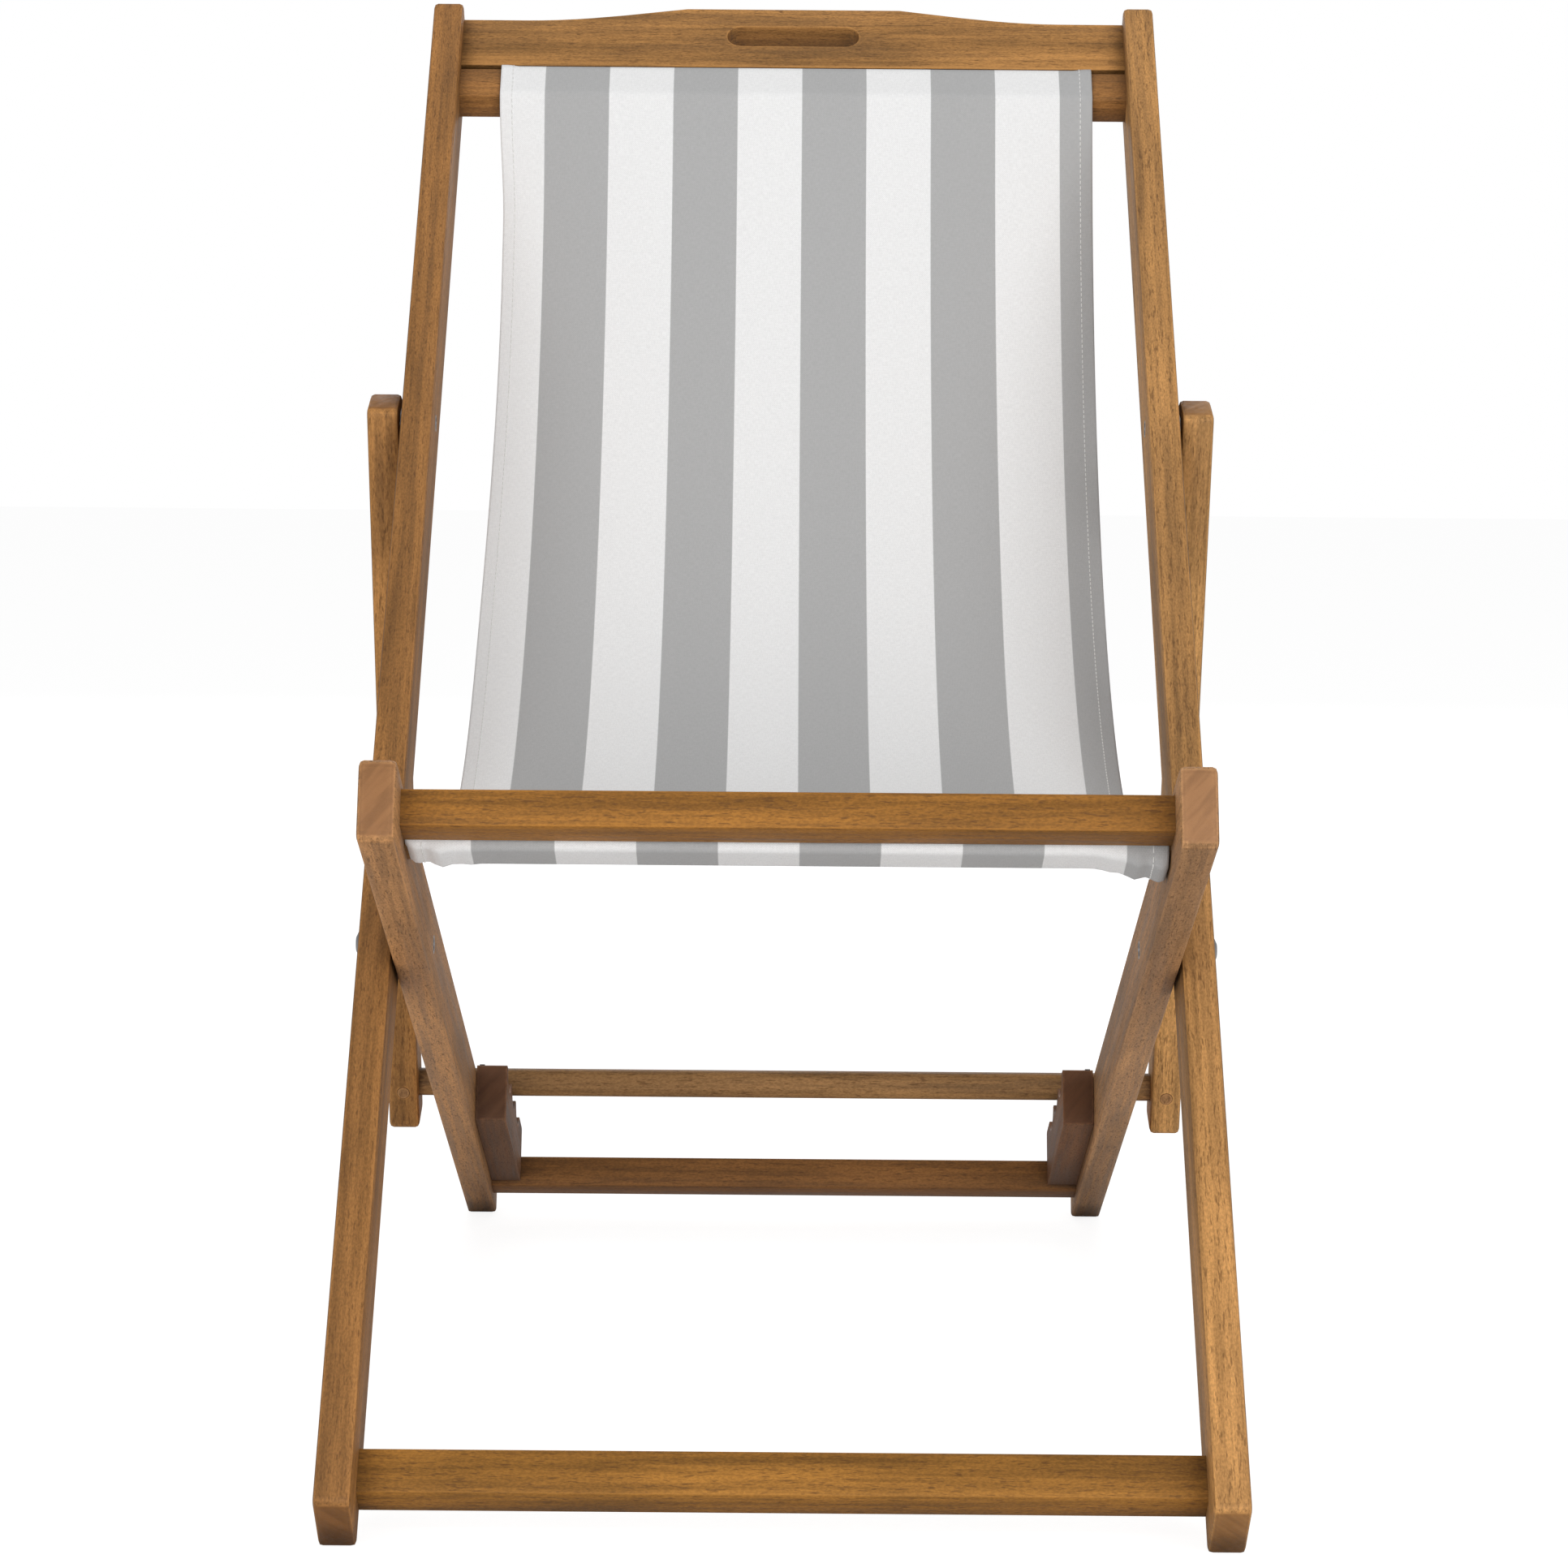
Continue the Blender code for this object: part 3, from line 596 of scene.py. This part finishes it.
def stitch_row(across, inner):
    """Points and faces of a row of stitches along the cloth."""
    starts = np.arange(SEAM_START, SLING_LENGTH - SEAM_END, STITCH_PITCH)
    sign = -1.0 if inner else 1.0
    base = -CANVAS_THICK * HEM_SHARE if inner else 0.0
    turns = np.arange(THREAD_SIDES) * 2 * math.pi / THREAD_SIDES
    spots = []
    faces = []
    for start in starts + (STITCH_PITCH / 2 if inner else 0.0):
        first = len(spots)
        for share, rise in BOW:
            side = across + THREAD_RADIUS * np.cos(turns)
            lift = base + sign * rise + THREAD_RADIUS * np.sin(turns)
            spots.extend(canvas_at(side, start + share * STITCH_LONG, lift).tolist())
        for ring in range(len(BOW) - 1):
            for step in range(THREAD_SIDES):
                here = first + ring * THREAD_SIDES + step
                there = first + ring * THREAD_SIDES + (step + 1) % THREAD_SIDES
                faces.append((here, there, there + THREAD_SIDES, here + THREAD_SIDES))
        last = first + (len(BOW) - 1) * THREAD_SIDES
        faces.append(tuple(range(first + THREAD_SIDES - 1, first - 1, -1)))
        faces.append(tuple(range(last, last + THREAD_SIDES)))
    return spots, faces


def sewing_thread():
    material, tree, shader = new_material("sewing_thread", 0.7, 0.25)
    twist = noise(tree, add(tree, "ShaderNodeTexCoord").outputs["Object"], THREAD_TWIST, 1.0)
    wire(tree, shader["Base Color"], tint(tree, twist, rgb(214, 214, 212), rgb(240, 240, 238)))
    return material


def sew(name, across, material):
    spots = []
    faces = []
    for inner in (False, True):
        more, quads = stitch_row(across, inner)
        faces += [tuple(index + len(spots) for index in quad) for quad in quads]
        spots += more
    mesh = bpy.data.meshes.new(name)
    mesh.from_pydata(spots, [], faces)
    mesh.shade_smooth()
    mesh.materials.append(material)
    piece = link(mesh, name)
    return piece


THREAD = sewing_thread()
seams = [sew("hem_seam_left", SEAM, THREAD), sew("hem_seam_right", SLING_WIDTH - SEAM, THREAD)]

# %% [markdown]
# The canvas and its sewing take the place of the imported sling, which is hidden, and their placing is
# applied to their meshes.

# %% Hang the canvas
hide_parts("sling")
for piece in [sling] + seams:
    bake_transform(piece)

# %% [markdown]
# The edges of the canvas are tacked to the bars where they don't show: under the top bar and behind the front
# bar. A tack head is a low dome, with its rim against the cloth.

# %% Tack the canvas
TACK_RADIUS = 0.0042
TACKS = 11
TACK_INSET = 0.022           # outermost tacks to the sides of the cloth
TACK_GAP = 0.0001            # rim to the cloth
TACK_STEPS = 16
TOP_TACKS = 0.010            # rows to the ends of the cloth
FRONT_TACKS = 0.009
DOME = ((1.0, 0.0), (0.94, 0.28), (0.6, 0.42), (0.0, 0.48))


def tack_row(name, body, reach):
    build = bmesh.new()
    for across in np.linspace(TACK_INSET, SLING_WIDTH - TACK_INSET, TACKS):
        foot = Vector(canvas_at(across, reach, TACK_GAP))
        up = (Vector(canvas_at(across, reach, 0.001)) - foot).normalized()
        head = bmesh.new()
        rings = [head.verts.new((radius * TACK_RADIUS, 0.0, rise * TACK_RADIUS)) for radius, rise in DOME]
        profile = rings + [head.edges.new(pair) for pair in zip(rings, rings[1:])]
        turn = {"axis": (0, 0, 1), "angle": 2 * math.pi, "steps": TACK_STEPS}
        bmesh.ops.spin(head, geom=profile, use_merge=True, **turn)
        bmesh.ops.remove_doubles(head, verts=head.verts, dist=WELD_GAP)
        bmesh.ops.holes_fill(head, edges=head.edges)
        bmesh.ops.recalc_face_normals(head, faces=head.faces)
        head.transform(Matrix.Translation(foot) @ up.to_track_quat("Z", "Y").to_matrix().to_4x4())
        one = bpy.data.meshes.new("tack")
        head.to_mesh(one)
        head.free()
        build.from_mesh(one)
        bpy.data.meshes.remove(one)
    mesh = bpy.data.meshes.new(name)
    build.to_mesh(mesh)
    build.free()
    mesh.shade_smooth()
    mesh.materials.append(ZINC)
    piece = link(mesh, name)
    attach(piece, body)


tack_row("top_bar_tacks", "back_frame", TOP_TACKS)
tack_row("front_bar_tacks", "seat_frame", SLING_LENGTH - FRONT_TACKS)

# %% [markdown]
# The studio is a pale floor under wide soft lights. The picture's background is white, so what the camera
# sees of the floor and the world is white, with only a faint shadow, while the light that they throw back
# stays modest.

# %% Studio
WHITE = (1.0, 1.0, 1.0, 1.0)
BOUNCE = (0.80, 0.80, 0.80, 1.0)   # the floor as other surfaces see it
PAPER = (0.34, 0.34, 0.34, 1.0)    # the floor as the camera sees it, with a glow added
GLOW = 0.85
SKY_LIGHT = 0.36
FLOOR_HALF = 9.0


def white_floor():
    mesh = bpy.data.meshes.new("studio_floor")
    signs = ((-1, -1), (1, -1), (1, 1), (-1, 1))
    mesh.from_pydata([(x * FLOOR_HALF, y * FLOOR_HALF, 0.0) for x, y in signs], [], [(0, 1, 2, 3)])
    material = bpy.data.materials.new("studio_paper")
    material.use_nodes = True
    tree = material.node_tree
    tree.nodes.clear()
    seen = add(tree, "ShaderNodeLightPath").outputs["Is Camera Ray"]
    bounce = add(tree, "ShaderNodeBsdfDiffuse", None, Color=BOUNCE).outputs[0]
    paper = add(tree, "ShaderNodeBsdfDiffuse", None, Color=PAPER).outputs[0]
    glow = add(tree, "ShaderNodeEmission", None, Color=WHITE, Strength=GLOW).outputs[0]
    bright = add(tree, "ShaderNodeAddShader", None, (paper, glow)).outputs[0]
    both = add(tree, "ShaderNodeMixShader", None, (seen, bounce, bright)).outputs[0]
    add(tree, "ShaderNodeOutputMaterial", None, (both,))
    mesh.materials.append(material)
    link(mesh, "studio_floor")


def white_world():
    world = bpy.data.worlds.new("studio_world")
    world.use_nodes = True
    tree = world.node_tree
    seen = add(tree, "ShaderNodeLightPath").outputs["Is Camera Ray"]
    strength = add(tree, "ShaderNodeMapRange", None, (seen, 0.0, 1.0, SKY_LIGHT, 1.0)).outputs[0]
    sky = tree.nodes["Background"].inputs
    sky["Color"].default_value = WHITE
    wire(tree, sky["Strength"], strength)
    bpy.context.scene.world = world


def lamp(name, spot, aim, size, power):
    data = bpy.data.lights.new(name, "AREA")
    data.shape = "RECTANGLE"
    data.size, data.size_y = size
    data.energy = power
    light = bpy.data.objects.new(name, data)
    light.location = spot
    light.rotation_euler = (Vector(aim) - Vector(spot)).to_track_quat("-Z", "Y").to_euler()
    bpy.context.scene.collection.objects.link(light)


# Each lamp has its place, what it points at, its width and height, and its power in watts.
LAMPS = (
    ("left_soft_light", (-2.0, -3.2, 1.9), (0.0, 0.0, 0.5), (2.2, 2.0), 44.0),
    ("right_soft_light", (2.2, -3.0, 1.9), (0.0, 0.0, 0.5), (2.2, 2.0), 54.0),
    ("low_soft_light", (0.2, -3.3, 0.45), (0.0, 0.0, 0.45), (2.6, 0.8), 22.0),
    ("top_soft_light", (0.0, 0.2, 3.4), (0.0, 0.0, 0.4), (2.6, 2.6), 14.0),
    ("back_soft_light", (0.0, 3.4, 2.0), (0.0, 0.0, 0.5), (2.6, 2.0), 34.0),
)
white_floor()
white_world()
for settings in LAMPS:
    lamp(*settings)
bpy.context.scene.view_settings.view_transform = "Standard"

# %% [markdown]
# The camera stands about three metres from the middle of the chair, above the seat, with a long lens. Its
# place, tilt and small upward shift come from fitting the chair's straight edges to the photograph.

# %% Camera
CAMERA_SPOT = (-0.0023, -2.9419, 0.7626)
CAMERA_PITCH = math.radians(-7.41)
CAMERA_ROLL = math.radians(0.463)
SENSOR = 36.0
LENS = 101.67
SHIFT_UP = 0.0125
camera_data = bpy.data.cameras.new("photo_camera")
camera_data.sensor_width = SENSOR
camera_data.lens = LENS
camera_data.shift_y = SHIFT_UP
camera = bpy.data.objects.new("photo_camera", camera_data)
aim = Matrix.Rotation(math.pi / 2 + CAMERA_PITCH, 4, "X") @ Matrix.Rotation(CAMERA_ROLL, 4, "Z")
camera.matrix_world = Matrix.Translation(CAMERA_SPOT) @ aim
bpy.context.scene.collection.objects.link(camera)
bpy.context.scene.camera = camera
